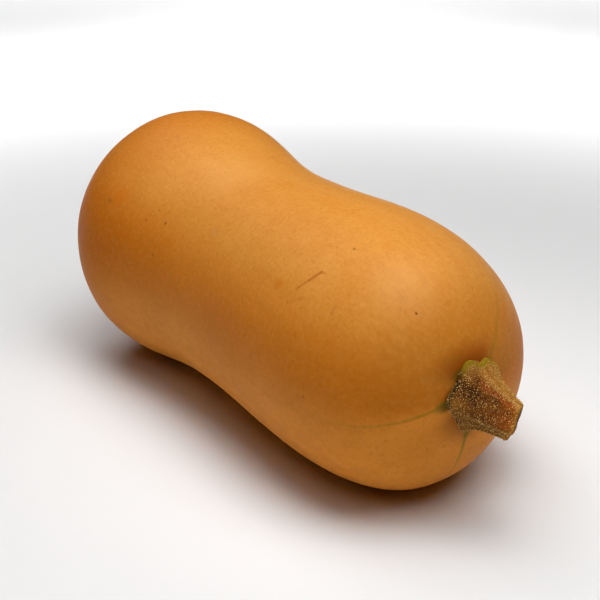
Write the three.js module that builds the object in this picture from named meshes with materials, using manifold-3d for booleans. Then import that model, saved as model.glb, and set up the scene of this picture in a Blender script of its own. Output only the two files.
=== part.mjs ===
// Butternut squash lying on its side: one fruit and the five-ridged stem left on its end.
// Millimetres, +Z up, +X along the fruit towards the stem, origin on the ground under the middle.

import * as THREE from "three";
import { mergeVertices } from "three/addons/utils/BufferGeometryUtils.js";
import Module from "manifold-3d";

// Fruit outline, measured along its axis from the blossom end
const BULB_RADIUS = 56;
const BULB_CAP_LENGTH = 45;
const BULB_FULLNESS = 0.11;
const BULB_TO_WAIST = 64;
const WAIST_RADIUS = 48.4;
const WAIST_CURVATURE = 0.0014;
const WAIST_TO_SHOULDER = 54.2;
const SHOULDER_RADIUS = 50.4;
const STEM_CAP_LENGTH = 68.7;
const STEM_CAP_FULLNESS = 0.3;
const FRUIT_LENGTH = BULB_CAP_LENGTH + BULB_TO_WAIST + WAIST_TO_SHOULDER + STEM_CAP_LENGTH;

// How the fruit grew and lies: a bend, an S-shaped sway and a shifted stem seat, sideways and upwards
const SIDE_BEND = -1.9;
const SIDE_SWAY = -4.6;
const RISE_BEND = 2.5;
const RISE_SWAY = -6.8;
const SEAT_SIDE = 1.5;
const SEAT_RISE = 7.8;
const SEAT_POWER = 12;
const LYING_TILT = THREE.MathUtils.degToRad(3.5);
const GROUND_FLAT_DEPTH = 2;

// Stem, measured along its centre line from where it leaves the fruit
const STEM_ROOT = 6;
const STEM_LENGTH = 16.6;
const STEM_BEND_POINT = new THREE.Vector3(7.85, 1.1, -1.9);
const STEM_TIP_POINT = new THREE.Vector3(14.55, 5.4, -5.5);
const STEM_CUT_DIRECTION = new THREE.Vector3(0.78, 0.495, -0.285);
const STEM_CUT_POWER = 3;
const STEM_TIP_ROUND = 0.8;
const STEM_GAP = 0.3;

// Five facets of the stem, as the angle each faces and its distance from the centre line
const STEM_ROOT_FACETS = [[54, 8.4], [127, 8.4], [201, 8.4], [280, 8.4], [352, 8.6]];
const STEM_TIP_FACETS = [[54, 5.6], [127, 5.6], [201, 5.6], [280, 5.6], [352, 5.6]];
const STEM_CORNER_SHARPNESS = 14;

// Foot of the stem, spread over the skin, which falls away most at one angle round the stem
const FOOT_FACETS = [[59, 11.1], [124, 10.7], [203, 10.9], [274, 10.4], [351, 11.7]];
const FOOT_HEIGHT = 1.5;
const FOOT_NARROWING = 3.5;
const SKIN_DEPTH = 1.3;
const SKIN_SLOPE = 3.6;
const SKIN_LOW_ANGLE = THREE.MathUtils.degToRad(32);

// Mesh fineness
const FRUIT_SIDES = 56;
const CAP_STEPS = 12;
const NECK_STEPS = 9;
const STEM_SIDES = 40;
const STEM_STEPS = 14;
const MERGE_DISTANCE = 0.001;

const wasm = await Module();
wasm.setup();

// Curve from one radius to another that is level at both ends and takes a set curvature there
function blend(u, startRadius, startBend, endRadius, endBend) {
  const rise = u ** 3 * (10 - 15 * u + 6 * u * u);
  const startShape = 0.5 * u * u * (1 - u) ** 3;
  const endShape = 0.5 * u ** 3 * (1 - u) ** 2;
  return startRadius + (endRadius - startRadius) * rise + startBend * startShape + endBend * endShape;
}

// Rounded end: an ellipse made fuller or slimmer towards its tip
function capRadius(u, radius, fullness) {
  return radius * Math.sqrt(Math.max(0, 1 - u * u)) * (1 + fullness * u * u);
}

function fruitOutline() {
  const points = [];
  const bulbBend = BULB_RADIUS * (2 * BULB_FULLNESS - 1) / BULB_CAP_LENGTH ** 2;
  const shoulderBend = SHOULDER_RADIUS * (2 * STEM_CAP_FULLNESS - 1) / STEM_CAP_LENGTH ** 2;
  for (let i = 0; i < CAP_STEPS; i += 1) {
    const u = Math.cos(Math.PI / 2 * i / CAP_STEPS);
    points.push(new THREE.Vector2(capRadius(u, BULB_RADIUS, BULB_FULLNESS), BULB_CAP_LENGTH * (1 - u)));
  }
  for (let i = 0; i < NECK_STEPS; i += 1) {
    const u = i / NECK_STEPS;
    const span = BULB_TO_WAIST ** 2;
    const radius = blend(u, BULB_RADIUS, bulbBend * span, WAIST_RADIUS, WAIST_CURVATURE * span);
    points.push(new THREE.Vector2(radius, BULB_CAP_LENGTH + BULB_TO_WAIST * u));
  }
  for (let i = 0; i < NECK_STEPS; i += 1) {
    const u = i / NECK_STEPS;
    const span = WAIST_TO_SHOULDER ** 2;
    const radius = blend(u, WAIST_RADIUS, WAIST_CURVATURE * span, SHOULDER_RADIUS, shoulderBend * span);
    points.push(new THREE.Vector2(radius, BULB_CAP_LENGTH + BULB_TO_WAIST + WAIST_TO_SHOULDER * u));
  }
  for (let i = 0; i <= CAP_STEPS; i += 1) {
    const u = i === CAP_STEPS ? 1 : Math.sin(Math.PI / 2 * i / CAP_STEPS);
    const radius = i === CAP_STEPS ? 0 : capRadius(u, SHOULDER_RADIUS, STEM_CAP_FULLNESS);
    points.push(new THREE.Vector2(radius, FRUIT_LENGTH - STEM_CAP_LENGTH * (1 - u)));
  }
  points[0].x = 0;
  return points;
}

// Bends the straight fruit, lifts the middle of the stem end and lays it on bulb and neck
function layFruit(point) {
  const along = point.x;
  const half = 2 * along / FRUIT_LENGTH - 1;
  const cap = THREE.MathUtils.clamp((along - FRUIT_LENGTH + STEM_CAP_LENGTH) / STEM_CAP_LENGTH, 0, 1);
  const x = along - FRUIT_LENGTH / 2;
  const seat = cap ** SEAT_POWER;
  const bend = half * half - 1 / 3;
  const sway = half ** 3 - 0.6 * half;
  const y = point.y + SIDE_BEND * bend + SIDE_SWAY * sway + SEAT_SIDE * seat;
  const z = point.z + RISE_BEND * bend + RISE_SWAY * sway + SEAT_RISE * seat;
  const cos = Math.cos(LYING_TILT);
  const sin = Math.sin(LYING_TILT);
  return point.set(x * cos + z * sin, y, z * cos - x * sin);
}

function moveVertices(geometry, move) {
  const position = geometry.getAttribute("position");
  const point = new THREE.Vector3();
  for (let i = 0; i < position.count; i += 1) {
    point.fromBufferAttribute(position, i);
    move(point);
    position.setXYZ(i, point.x, point.y, point.z);
  }
  return geometry;
}

// A revolved outline turned to lie along +X, with shared vertices and no collapsed triangles
function revolve(outline, sides) {
  const lathe = new THREE.LatheGeometry(outline, sides);
  lathe.rotateZ(-Math.PI / 2);
  lathe.deleteAttribute("normal");
  lathe.deleteAttribute("uv");
  const geometry = mergeVertices(lathe, MERGE_DISTANCE);
  const index = geometry.getIndex().array;
  const kept = [];
  for (let i = 0; i < index.length; i += 3) {
    const [a, b, c] = [index[i], index[i + 1], index[i + 2]];
    if (a !== b && b !== c && c !== a) kept.push(a, b, c);
  }
  geometry.setIndex(kept);
  return geometry;
}

function toSolid(geometry) {
  const vertProperties = new Float32Array(geometry.getAttribute("position").array);
  const triVerts = new Uint32Array(geometry.getIndex().array);
  return new wasm.Manifold(new wasm.Mesh({ numProp: 3, vertProperties, triVerts }));
}

function toGeometry(solid) {
  const mesh = solid.getMesh();
  const geometry = new THREE.BufferGeometry();
  geometry.setAttribute("position", new THREE.BufferAttribute(new Float32Array(mesh.vertProperties), 3));
  geometry.setIndex(Array.from(mesh.triVerts));
  return geometry;
}

// Fruit: revolved, laid down, then flattened where it lay on the ground
const fruit = moveVertices(revolve(fruitOutline(), FRUIT_SIDES), layFruit);
fruit.computeBoundingBox();
const ground = fruit.boundingBox.min.z + GROUND_FLAT_DEPTH;
moveVertices(fruit, (point) => point.setZ(Math.max(point.z, ground)));
fruit.computeBoundingBox();

// Stem: a peg of unit radius, given five facets and a spread foot along a bent centre line
const seat = layFruit(new THREE.Vector3(FRUIT_LENGTH, 0, 0));
const centreLine = new THREE.QuadraticBezierCurve3(
  seat,
  seat.clone().add(STEM_BEND_POINT),
  seat.clone().add(STEM_TIP_POINT),
);

function stemOutline() {
  const points = [new THREE.Vector2(0, -STEM_ROOT)];
  const sideLength = STEM_ROOT + STEM_LENGTH - STEM_TIP_ROUND;
  for (let i = 0; i <= STEM_STEPS; i += 1) {
    points.push(new THREE.Vector2(1, sideLength * i / STEM_STEPS - STEM_ROOT));
  }
  points.push(new THREE.Vector2(1 - STEM_TIP_ROUND / STEM_TIP_FACETS[0][1], STEM_LENGTH));
  points.push(new THREE.Vector2(0, STEM_LENGTH));
  return points;
}

// Distance from the middle to a polygon with rounded corners
function roundedPolygon(around, facets) {
  let total = 0;
  for (const [angle, distance] of facets) {
    const facing = Math.max(0, Math.cos(around - THREE.MathUtils.degToRad(angle)));
    total += (facing / distance) ** STEM_CORNER_SHARPNESS;
  }
  return total ** (-1 / STEM_CORNER_SHARPNESS);
}

function stemRadius(along, around) {
  const root = roundedPolygon(around, STEM_ROOT_FACETS);
  const tip = roundedPolygon(around, STEM_TIP_FACETS);
  const body = THREE.MathUtils.lerp(root, tip, Math.max(0, along) / STEM_LENGTH);
  const height = along + SKIN_DEPTH + SKIN_SLOPE * Math.cos(around - SKIN_LOW_ANGLE);
  const spread = Math.exp(-Math.max(0, height - FOOT_HEIGHT) / FOOT_NARROWING);
  return body + (roundedPolygon(around, FOOT_FACETS) - root) * spread;
}

// Angles round the stem count from its top towards the -Y side; the cut at the tip is slanted
function bendStem(point) {
  const along = point.x;
  const around = Math.atan2(-point.y, point.z);
  const radius = Math.hypot(point.y, point.z) * stemRadius(along, around);
  const t = Math.max(0, along) / STEM_LENGTH;
  const forward = centreLine.getTangent(t);
  const side = forward.clone().cross(new THREE.Vector3(0, 0, 1)).normalize();
  const up = side.clone().cross(forward);
  const outward = up.multiplyScalar(radius * Math.cos(around)).addScaledVector(side, radius * Math.sin(around));
  const slant = -STEM_CUT_DIRECTION.dot(outward) / STEM_CUT_DIRECTION.dot(forward);
  point.copy(centreLine.getPoint(t)).add(outward);
  point.addScaledVector(forward, Math.min(0, along) + slant * t ** STEM_CUT_POWER);
}

// The stem's root follows the end of the fruit, a hair's gap above it
const roomForFruit = fruit.clone();
roomForFruit.computeVertexNormals();
const outward = roomForFruit.getAttribute("normal");
const swollen = roomForFruit.getAttribute("position");
for (let i = 0; i < swollen.count; i += 1) {
  swollen.setXYZ(
    i,
    swollen.getX(i) + STEM_GAP * outward.getX(i),
    swollen.getY(i) + STEM_GAP * outward.getY(i),
    swollen.getZ(i) + STEM_GAP * outward.getZ(i),
  );
}
roomForFruit.deleteAttribute("normal");
const stemPeg = moveVertices(revolve(stemOutline(), STEM_SIDES), bendStem);
const stem = toGeometry(toSolid(stemPeg).subtract(toSolid(roomForFruit)));

const skinMaterial = new THREE.MeshStandardMaterial({ color: 0xdc9440, roughness: 0.45, metalness: 0 });
const stemMaterial = new THREE.MeshStandardMaterial({ color: 0x8a5a26, roughness: 0.85, metalness: 0 });

const squash = new THREE.Group();
const fruitMesh = new THREE.Mesh(fruit, skinMaterial);
fruitMesh.name = "squash_fruit";
squash.add(fruitMesh);
const stemMesh = new THREE.Mesh(stem, stemMaterial);
stemMesh.name = "stem";
squash.add(stemMesh);

// Origin on the ground under the middle of the whole squash
const box = new THREE.Box3().setFromObject(squash);
const middle = box.getCenter(new THREE.Vector3());
squash.position.set(-middle.x, -middle.y, -box.min.z);

export default squash;
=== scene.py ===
"""Butternut squash lying on a pale floor: its skin, its ridged stem and the bristles on the stem."""

import math
import random

import bpy
import numpy as np
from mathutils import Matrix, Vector, noise


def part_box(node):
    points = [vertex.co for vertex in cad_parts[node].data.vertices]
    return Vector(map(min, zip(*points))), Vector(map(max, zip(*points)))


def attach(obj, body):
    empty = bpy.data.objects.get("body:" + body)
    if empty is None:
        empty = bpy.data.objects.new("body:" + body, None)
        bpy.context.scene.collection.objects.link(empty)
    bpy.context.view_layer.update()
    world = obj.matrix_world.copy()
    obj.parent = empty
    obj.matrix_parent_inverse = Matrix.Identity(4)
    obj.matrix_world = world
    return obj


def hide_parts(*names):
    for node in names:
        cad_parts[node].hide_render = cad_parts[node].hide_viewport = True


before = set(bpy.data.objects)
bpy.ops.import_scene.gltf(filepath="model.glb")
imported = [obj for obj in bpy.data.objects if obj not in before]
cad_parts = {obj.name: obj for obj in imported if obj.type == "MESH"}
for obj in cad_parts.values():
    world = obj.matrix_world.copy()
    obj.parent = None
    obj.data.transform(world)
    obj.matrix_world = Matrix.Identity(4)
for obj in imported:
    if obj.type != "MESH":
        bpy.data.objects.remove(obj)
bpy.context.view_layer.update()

MM = 0.001

# Camera: angles in degrees, distance and target in mm from the fruit's middle, focal length in pixels,
# sensor width in mm, clipping in m
FRAME_PIXELS = 600
CAMERA_AZIMUTH = 55.74
CAMERA_ELEVATION = 21.93
CAMERA_DISTANCE = 530
CAMERA_FOCAL_PIXELS = 1166.7
CAMERA_TARGET = (-33.0, 28.9, -22.2)
SENSOR_WIDTH = 36
CAMERA_CLIP = (0.01, 50)

# Round softboxes: elevation, turn from the camera's side to its right, distance and size in mm, watts
LIGHTS = (
    (90, 0, 450, 300, 0.24),
    (75, 0, 450, 300, 0.67),
    (50, 0, 450, 300, 0.25),
    (68, 45, 450, 300, 0.35),
    (55, 40, 450, 300, 0.73),
    (60, -135, 450, 300, 0.7),
)
LIGHT_AIM = Vector((-30, 10, 50))

# Rings of lamps over the floor round the squash: how many, ring radius, height and size in mm, watts
FLOOR_LAMPS = (
    (8, 790, 600, 600, 1.4),
    (10, 1600, 1000, 1000, 3.6),
)
FLOOR_LAMP_SPREAD = math.radians(75)
FLOOR_WHITENESS = 0.9
FLOOR_RADIUS = 1750
FLOOR_SIDES = 96

# Fruit outline in mm, measured along its axis from the blossom end
BULB_RADIUS = 56
BULB_CAP_LENGTH = 45
BULB_FULLNESS = 0.11
BULB_TO_WAIST = 64
WAIST_RADIUS = 48.4
WAIST_CURVATURE = 0.0014
WAIST_TO_SHOULDER = 54.2
SHOULDER_RADIUS = 50.4
STEM_CAP_LENGTH = 68.7
STEM_CAP_FULLNESS = 0.3
SHOULDER_AT = BULB_CAP_LENGTH + BULB_TO_WAIST + WAIST_TO_SHOULDER
FRUIT_LENGTH = SHOULDER_AT + STEM_CAP_LENGTH

# How the fruit grew and lies: a bend, an S-shaped sway and a shifted stem seat, sideways and upwards
SIDE_BEND = -1.9
SIDE_SWAY = -4.6
RISE_BEND = 2.5
RISE_SWAY = -6.8
SEAT_SIDE = 1.5
SEAT_RISE = 7.8
SEAT_POWER = 12
LYING_TILT = math.radians(3.5)
GROUND_FLAT_DEPTH = 2

# Skin mesh: steps along each stretch of the outline, and round it from a seam on the hidden side
BULB_CAP_STEPS = 76
BULB_NECK_STEPS = 60
NECK_STEPS = 50
STEM_CAP_STEPS = 86
POLE_CROWDING = 1.25
SKIN_SIDES = 300
SEAM_ANGLE = -110

# Unevenness of the skin in mm: size and height of the lumps
LUMPS = ((38, 0.45), (15, 0.16))
FURROW_DEPTH = 0.3
FURROW_WIDTH = 11
FURROW_START = 170
FURROW_FULL = 210

# Scar at the blossom end, in mm
SCAR_DIMPLE_DEPTH = 1.5
SCAR_DIMPLE_RADIUS = 7.5
SCAR_NUB_HEIGHT = 1.1
SCAR_NUB_RADIUS = 3.4
SCAR_NUB_SHARPNESS = 6

# Noise: scale per mm, detail, roughness; for a pattern also the levels where it begins and is full
BROAD_PATTERN = (0.022, 2.0, 0.5, 0.3, 0.7)
MOTTLE_PATTERN = (0.16, 4.0, 0.65, 0.34, 0.66)
SPECKLE_PATTERN = (0.42, 3.0, 0.6, 0.42, 0.62)
GRAIN_NOISE = (0.7, 4.0, 0.7)
PIT_NOISE = (1.1, 2.0, 0.5)
VEIN_WANDER_NOISE = (0.1, 2.0, 0.5)
VEIN_BREAK_PATTERN = (0.5, 3.0, 0.7, 0.3, 0.6)

# Noise drawn out along the fruit: its scales per degree round it and per mm along it, then as above
STREAK_SCALES = (0.16, 0.02)
STREAK_PATTERN = (1.0, 4.0, 0.6, 0.45, 0.7)
SHADE_SCALES = (0.045, 0.05)
SHADE_NOISE = (1.0, 2.0, 0.5)

# Skin colours as display values: pairs that alternate in broad patches or with the grain; the paler top
# pair is partly painted light, the deeper flank pair partly painted shade and the warm pair below partly
# painted bounce light from the floor
TOP_SHADES_WITH_PAINTED_LIGHT = ((204, 138, 60), (199, 131, 52))
FLANK_SHADES_WITH_PAINTED_SHADE = ((206, 117, 24), (200, 111, 19))
BELOW_SHADES_WITH_PAINTED_BOUNCE = ((227, 148, 58), (221, 141, 52))
CORK_SHADES = ((120, 82, 44), (190, 152, 100))
FLANK_STRENGTH = 0.9
BELOW_STRENGTH = 0.85
CORK_STRENGTH = 0.85
SCRATCH_COLOUR = (142, 62, 0)
FRECKLE_COLOUR = (98, 44, 2)

# Tints mixed into the skin: strength, display colour
# The far-top, bulb-end, bulb-flank and round-stem tints are painted shade
FAR_TOP_PAINTED_SHADE = (0.9, (192, 131, 60))
BULB_END_PAINTED_SHADE = (0.55, (176, 90, 8))
BULB_FLANK_PAINTED_SHADE = (0.6, (188, 96, 2))
ROUND_STEM_PAINTED_SHADE = (0.75, (172, 100, 20))
MOTTLE_TINT = (0.24, (186, 110, 24))
SPECKLE_TINT = (0.09, (226, 156, 78))
DARK_GRAIN_TINT = (0.46, (178, 104, 24))
PALE_GRAIN_TINT = (0.24, (222, 150, 66))
BODY_STREAK_TINT = (0.1, (176, 100, 20))
STEM_STREAK_TINT = (0.2, (176, 100, 20))
GREEN_RING_TINT = (0.25, (146, 100, 14))
RED_RING_TINT = (0.25, (166, 82, 14))
FAR_DOT_TINT = (0.45, (96, 52, 16))
BELLY_TINT = (0.3, (222, 164, 92))
SCAR_HALO_TINT = (0.35, (188, 108, 28))
VEIN_TINT = (0.95, (112, 106, 18))
SHADED_FOOT_FLECK_TINT = (0.6, (82, 78, 10))

# Where they lie, as the values at which each begins and is full: places along the fruit, ring radii,
# angles, limits of noise or of how far the skin faces up
OFF_TIP_RADII = (0, 34)
OFF_TIP_PLACES = (60, 100)
FAR_TOP_ANGLES = (15, -20)
FAR_TOP_PLACES = (90, 120)
FLANK_LIMITS = (0.8, 0.28)
BELOW_LIMITS = (0.2, -0.24)
BULB_END_PLACES = (75, 35)
BULB_FLANK_PLACES = (115, 60)
ROUND_STEM_PLACES = (208, 227)
DARK_GRAIN_LIMITS = (0.5, 0.72)
PALE_GRAIN_LIMITS = (0.48, 0.28)
BODY_STREAK_RADII = (18, 36)
STEM_STREAK_PLACES = (170, 229)
RING_PLACES = (215, 229)
RING_RADII = (30, 13)
GREEN_RING_LIMITS = (0.45, 0.62)
RED_RING_LIMITS = (0.5, 0.35)
BROWN_COLLAR_AND_SHADE_PLACES = (213, 220)
FAR_DOT_SHARES = (0.03, 0.01)
FAR_DOT_ANGLES = ((-20, -45), (160, 185))
BELLY_ANGLES = ((140, 178), (226, 186))
BELLY_PLACES = ((20, 70), (215, 170))
SCAR_PLACES = (20, 10)
SCAR_CORK_RADII = (6.6, 4.4)
SCAR_HALO_RADII = (22, 6)
SHADED_FOOT_FLECK_PLACES = (228, 229.5)
SHADED_FOOT_FLECK_RADII = (16.5, 13)

# Sectors of the skin: start and end angle, softness of both edges in degrees
SECTOR_SOFTNESS = 9
BULB_FLANK_SECTOR = (56, 88, 14)
ROUND_STEM_SECTOR = (-72, 84)
BODY_STREAK_SECTOR = (-90, 230, 16)
ABOVE_SECTOR = (-70, 60)

# Finish of the skin: gloss, roughness with what grain and cork add, bump as strength and height in mm
SKIN_SPECULAR = 0.035
SKIN_ROUGHNESS = 0.37
GRAIN_ROUGHNESS = 0.14
CORK_ROUGHNESS = 0.3
CORK_RAGGEDNESS = 2.5
PIT_SHARE = 0.4
SKIN_BUMP = (0.2, 0.25)

# Veins in the skin: angle at the stem, turn in degrees per mm, hook at the stem, ring radius where they
# fade, half width in mm, strength
VEINS = (
    (91.2, -0.17, -2.5, 52, 0.42, 0.66),
    (-27.9, 0.42, 0, 60, 0.6, 0.34),
    (181.5, 0, -3.6, 38, 0.42, 0.82),
    (237, -0.2, 2.5, 46, 0.42, 0.6),
)
VEIN_FOOT = 230
VEIN_HOOK_LENGTH = 1.2
VEIN_ROOT_WIDENING = 0.14
VEIN_ROOT_RADIUS = 14
VEIN_NARROW_RADIUS = 30
VEIN_WANDER = 1.2
VEIN_END_SOFTNESS = 10
VEIN_EDGES = (2.2, 0.3)
VEIN_BROKEN_STRENGTH = 0.65

# Brown collar and painted shade in the skin round the stem's foot, darkest against it: start and end
# angle, ring radius where it begins and where it is full, strength, display colour
BROWN_COLLAR_AND_SHADE = (
    (-22, 46, 27, 15, 0.75, (131, 58, 0)),
    (62, 100, 14.5, 11.5, 0.7, (112, 50, 2)),
    (114, 200, 19, 10, 0.8, (143, 79, 27)),
)
BROWN_COLLAR_AND_SHADE_SOFTNESS = 14

# Dark green flecks with painted crevice shade in the skin against the stem's foot: angles between which
# they lie
SHADED_FOOT_FLECKS = ((24, 44), (80, 98), (-34, -22), (172, 184))
SHADED_FOOT_FLECK_SOFTNESS = 5

# Edges of the marks, as shares of their radius or half width: where they begin and where they are full
BLOTCH_AND_PAINTED_LIGHT_EDGES = (1.4, 0)
FRECKLE_EDGES = (1.3, 0.3)
SCRATCH_EDGES = (2, 0.4)

# Small dots on the far side: scales along and round the fruit, cells per mm
FAR_DOT_SCALES = (1, 0.85)
FAR_DOT_DENSITY = 0.05

# Dark freckles on the near side: place along, angle, radius in mm, strength
FRECKLES = (
    (216.4, 24.8, 0.48, 0.9),
    (183.8, 23.5, 0.62, 0.62),
    (178.1, 27.5, 0.42, 0.35),
    (156.0, -0.2, 0.5, 0.45),
    (76.4, 58.0, 0.6, 0.55),
    (86.9, 54.8, 0.72, 0.7),
    (80.0, 51.0, 0.55, 0.38),
    (87.7, 70.8, 0.65, 0.42),
    (186.3, 73.5, 0.45, 0.4),
    (196.2, 88.6, 0.55, 0.45),
    (178.8, 116.2, 0.5, 0.45),
    (204.6, 98.5, 0.45, 0.3),
)

# Scratches in the skin: two ends as (place along, angle), half width in mm, strength
SCRATCHES = (
    ((176.8, 50.5), (179.4, 45.0), 0.36, 0.36),
    ((179.4, 45.0), (181.4, 39.6), 0.46, 0.55),
    ((181.4, 39.6), (183.4, 39.2), 0.36, 0.32),
    ((176.2, 56.9), (182.4, 51.9), 0.6, 0.14),
    ((196.0, 50.8), (195.8, 47.6), 0.45, 0.25),
)

# Soft blotches, of which the first two, pale on top of the bulb and the neck, are painted highlights and
# the third, deeper orange on the stem end's flank, is painted shade: place along, angle, radius in mm,
# strength, display colour
BLOTCHES_AND_PAINTED_LIGHT = (
    (92, 14, 18, 0.3, (224, 166, 94)),
    (206, 20, 13, 0.26, (228, 172, 106)),
    (217, 64, 12, 0.4, (180, 98, 14)),
    (229.5, 124, 8, 0.4, (186, 110, 24)),
    (167.4, 52.8, 2.4, 0.55, (194, 98, 10)),
    (57.6, 54.7, 4.2, 0.5, (202, 104, 14)),
    (52.6, 59.2, 1.3, 0.5, (122, 76, 34)),
    (55.3, 17.6, 1.6, 0.4, (188, 100, 56)),
    (203.0, 40.0, 1.3, 0.25, (226, 164, 92)),
    (116.2, 47.2, 1.5, 0.4, (186, 134, 92)),
    (186.3, 66.2, 1.4, 0.4, (172, 88, 14)),
    (210.3, 25.4, 2.6, 0.22, (172, 104, 44)),
)

# Stem in mm: its bent centre line from the middle of the fruit's end, and the slanted cut at its tip
STEM_LENGTH = 16.6
STEM_BEND_POINT = Vector((7.85, 1.1, -1.9))
STEM_TIP_POINT = Vector((14.55, 5.4, -5.5))
STEM_CUT_DIRECTION = Vector((0.78, 0.495, -0.285))
STEM_CUT_POWER = 3
STEM_CUT_BULGE = 1.0
STEM_CUT_BULGE_ANGLE = 88
STEM_CUT_BULGE_WIDTH = 42
STEM_CUT_BULGE_LOSS = 0.35
STEM_TIP_ROUND = 0.7

# Five facets of the stem, as the angle each faces and its distance from the centre line, at root and tip
ROOT_FACETS = ((54, 8.4), (127, 8.4), (201, 8.4), (280, 8.4), (352, 8.6))
TIP_FACETS = ((54, 5.6), (127, 5.6), (201, 5.6), (280, 5.6), (352, 5.6))
CORNER_SHARPNESS = 14
FACET_HOLLOW = 0.45
FACET_HOLLOW_WIDTH = 18

# Foot of the stem, spread over the skin: its sides, its lobes, its height and how fast it narrows above
FOOT_SIDES = ((59, 11.1), (124, 10.7), (203, 10.9), (274, 9.7), (351, 11.7))
FOOT_LOBES = ((11, 1.0), (-20, 1.4))
FOOT_LOBE_WIDTH = 9
FOOT_HEIGHT = 1.5
FOOT_NARROWING = 3.5
FOOT_CURL = 1.1
FOOT_BURIED = 2

# Finer shape of the stem: a lip at the cut, fibres as (number round it, height, phase), the domed cut
LIP_HEIGHT = 0.35
LIP_LENGTH = 1.0
FIBRES = ((11, 0.1, 0.5), (18, 0.08, 2.1), (27, 0.06, 4.0), (41, 0.04, 1.2))
FIBRE_TWIST = 0.08
FIBRE_TIP_LOSS = 0.7
FIBRE_LOSS_POWER = 4
CUT_DOME = 0.6
PITH_RADIUS = 1.7
PITH_DEPTH = 1.0
PITH_SHARPNESS = 6
STEM_SIDES = 240
STEM_STEPS = 110
STEM_CUT_RINGS = 26

# Search along the stem for the skin in mm, and small steps over the stem in mm and radians
SKIN_SEARCH = (-12.0, 9.0)
SKIN_SEARCH_STEP = 0.01
SURFACE_STEP = 0.05
SURFACE_TURN = SURFACE_STEP / 8

# Noise on the stem, as for the skin; fibres and rays are drawn out along it
FIBRE_SCALES = (0.14, 0.3)
FIBRE_PATTERN = (1.0, 4.0, 0.65, 0.35, 0.68)
BLOTCH_PATTERN = (0.22, 3.0, 0.6, 0.4, 0.62)
RED_BLOTCH_PATTERN = (0.16, 2.0, 0.6, 0.48, 0.66)
GRIT_NOISE = (1.6, 3.0, 0.7)
RAY_SCALES = (0.2, 0.1)
RAY_PATTERN = (1.0, 3.0, 0.5, 0.4, 0.62)
BRISTLE_PATTERN = (0.9, 2.0, 0.5, 0.35, 0.65)

# Stem colours as display values: pairs that alternate with its blotches, fibres, rays or bristles; the
# beige upper pair is partly painted light and the grey-brown lower pair partly painted shade
STEM_SHADES = ((94, 50, 8), (124, 68, 14))
TIP_SHADES = ((142, 64, 6), (172, 84, 14))
UPPER_SHADES_WITH_PAINTED_LIGHT = ((152, 98, 30), (178, 120, 46))
LOWER_SHADES_WITH_PAINTED_SHADE = ((108, 66, 18), (138, 90, 32))
RIM_SHADES = ((146, 96, 28), (192, 140, 54))
CUT_SHADES = ((84, 54, 18), (128, 88, 38))
BRISTLE_SHADES = ((252, 214, 126), (184, 122, 40))
# Painted shade for the crevice under the stem's foot
CREVICE_SHADE_COLOUR = (46, 32, 8)
TIP_STRENGTH = 0.6
RIM_STRENGTH = 0.8

# Tints mixed into the stem: strength, display colour; the dark one is partly painted shade in the middle
# of the near facet and the shoulder one partly painted light
GOLDEN_TINT = (0.55, (160, 108, 38))
DARK_AND_PAINTED_SHADE_TINT = (0.65, (56, 26, 4))
SHOULDER_BEIGE_AND_PAINTED_LIGHT_TINT = (0.7, (148, 98, 40))
GRIT_TINT = (0.5, (64, 34, 6))
RED_RIDGE_TINT = (0.55, (164, 66, 26))
LOBE_TINT = (0.85, (138, 114, 8))
PITH_TINT = (0.7, (72, 46, 18))

# Where they lie, as for the skin: heights above it and places past the cut in mm, noise and ridge limits
TIP_PLACES = (-9, -3.5)
GOLDEN_HEIGHTS = (8, 4)
DARK_HEIGHTS = (1.8, 3.6)
DARK_PLACES = (-8, -11.5)
DARK_BLOTCH_LOSS = 0.4
SHOULDER_HEIGHTS = (6.5, 3.5)
GRIT_LIMITS = (0.48, 0.7)
RED_RIDGE_LIMITS = (1.075, 1.105)
RED_RIDGE_HEIGHTS = (6, 8.5)
RED_BLOTCH_SHARE = 0.5
LOBE_HEIGHTS = (3.6, 1.4)
CREVICE_SHADE_HEIGHTS = (2.6, 1.1)
FOOT_WAVES = 1.6
RIM_PLACES = (-1.9, -0.6)
RIM_WAVES = 1.4
CUT_PLACES = (0.05, 0.4)
PITH_PLACES = (3.2, 5)

# Sectors of the stem, as for the skin; the upper one runs on past 360 degrees to its end angles, and the
# painted shade in the crevice under the foot has a strength in each of its sectors
GOLDEN_SECTOR = (74, 104)
DARK_SECTOR = (42, 74)
UPPER_SECTOR = (236, 380)
UPPER_END_ANGLES = (20, 1)
SHOULDER_SECTOR = (9, 40)
LOWER_SECTOR = (98, 236)
RED_RIDGE_SECTOR = (14, 34, 6)
LOBE_SECTOR = (0, 36)
CREVICE_SHADE_SECTORS = ((34, 98, 0.85), (98, 190, 0.35))

# Finish of stem and bristles, as for the skin
STEM_SPECULAR = 0.12
STEM_ROUGHNESS = 0.85
STEM_BUMP = (0.6, 0.3)
FIBRE_BUMP_SHARE = 0.5
BRISTLE_ROUGHNESS = 0.5

# Bristles in mm, in rows up the stem, whose girth is more than a circle's; few grow on the lobes
BRISTLE_SEED = 5
BRISTLE_SPACING = 0.57
BRISTLE_START = 0.7
BRISTLE_JITTER = 0.45
BRISTLE_GIRTH = 1.08
BRISTLE_RADII = (0.07, 0.19)
BRISTLE_LENGTHS = (0.2, 0.6)
BRISTLE_SIDES = 6
BRISTLE_LEAN = 0.55
BRISTLE_SWAY = 0.7
BRISTLE_ROOT = 0.12
BRISTLE_WAIST = 0.55
BRISTLE_WAIST_RADIUS = 0.72
BARE_RIM = 0.6
BARE_SHARE = 0.12
BARE_LOBE_HEIGHT = 2.4
BARE_LOBE_SHARE = 0.85
BARE_LOBE_COSINE = 0.6

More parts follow.
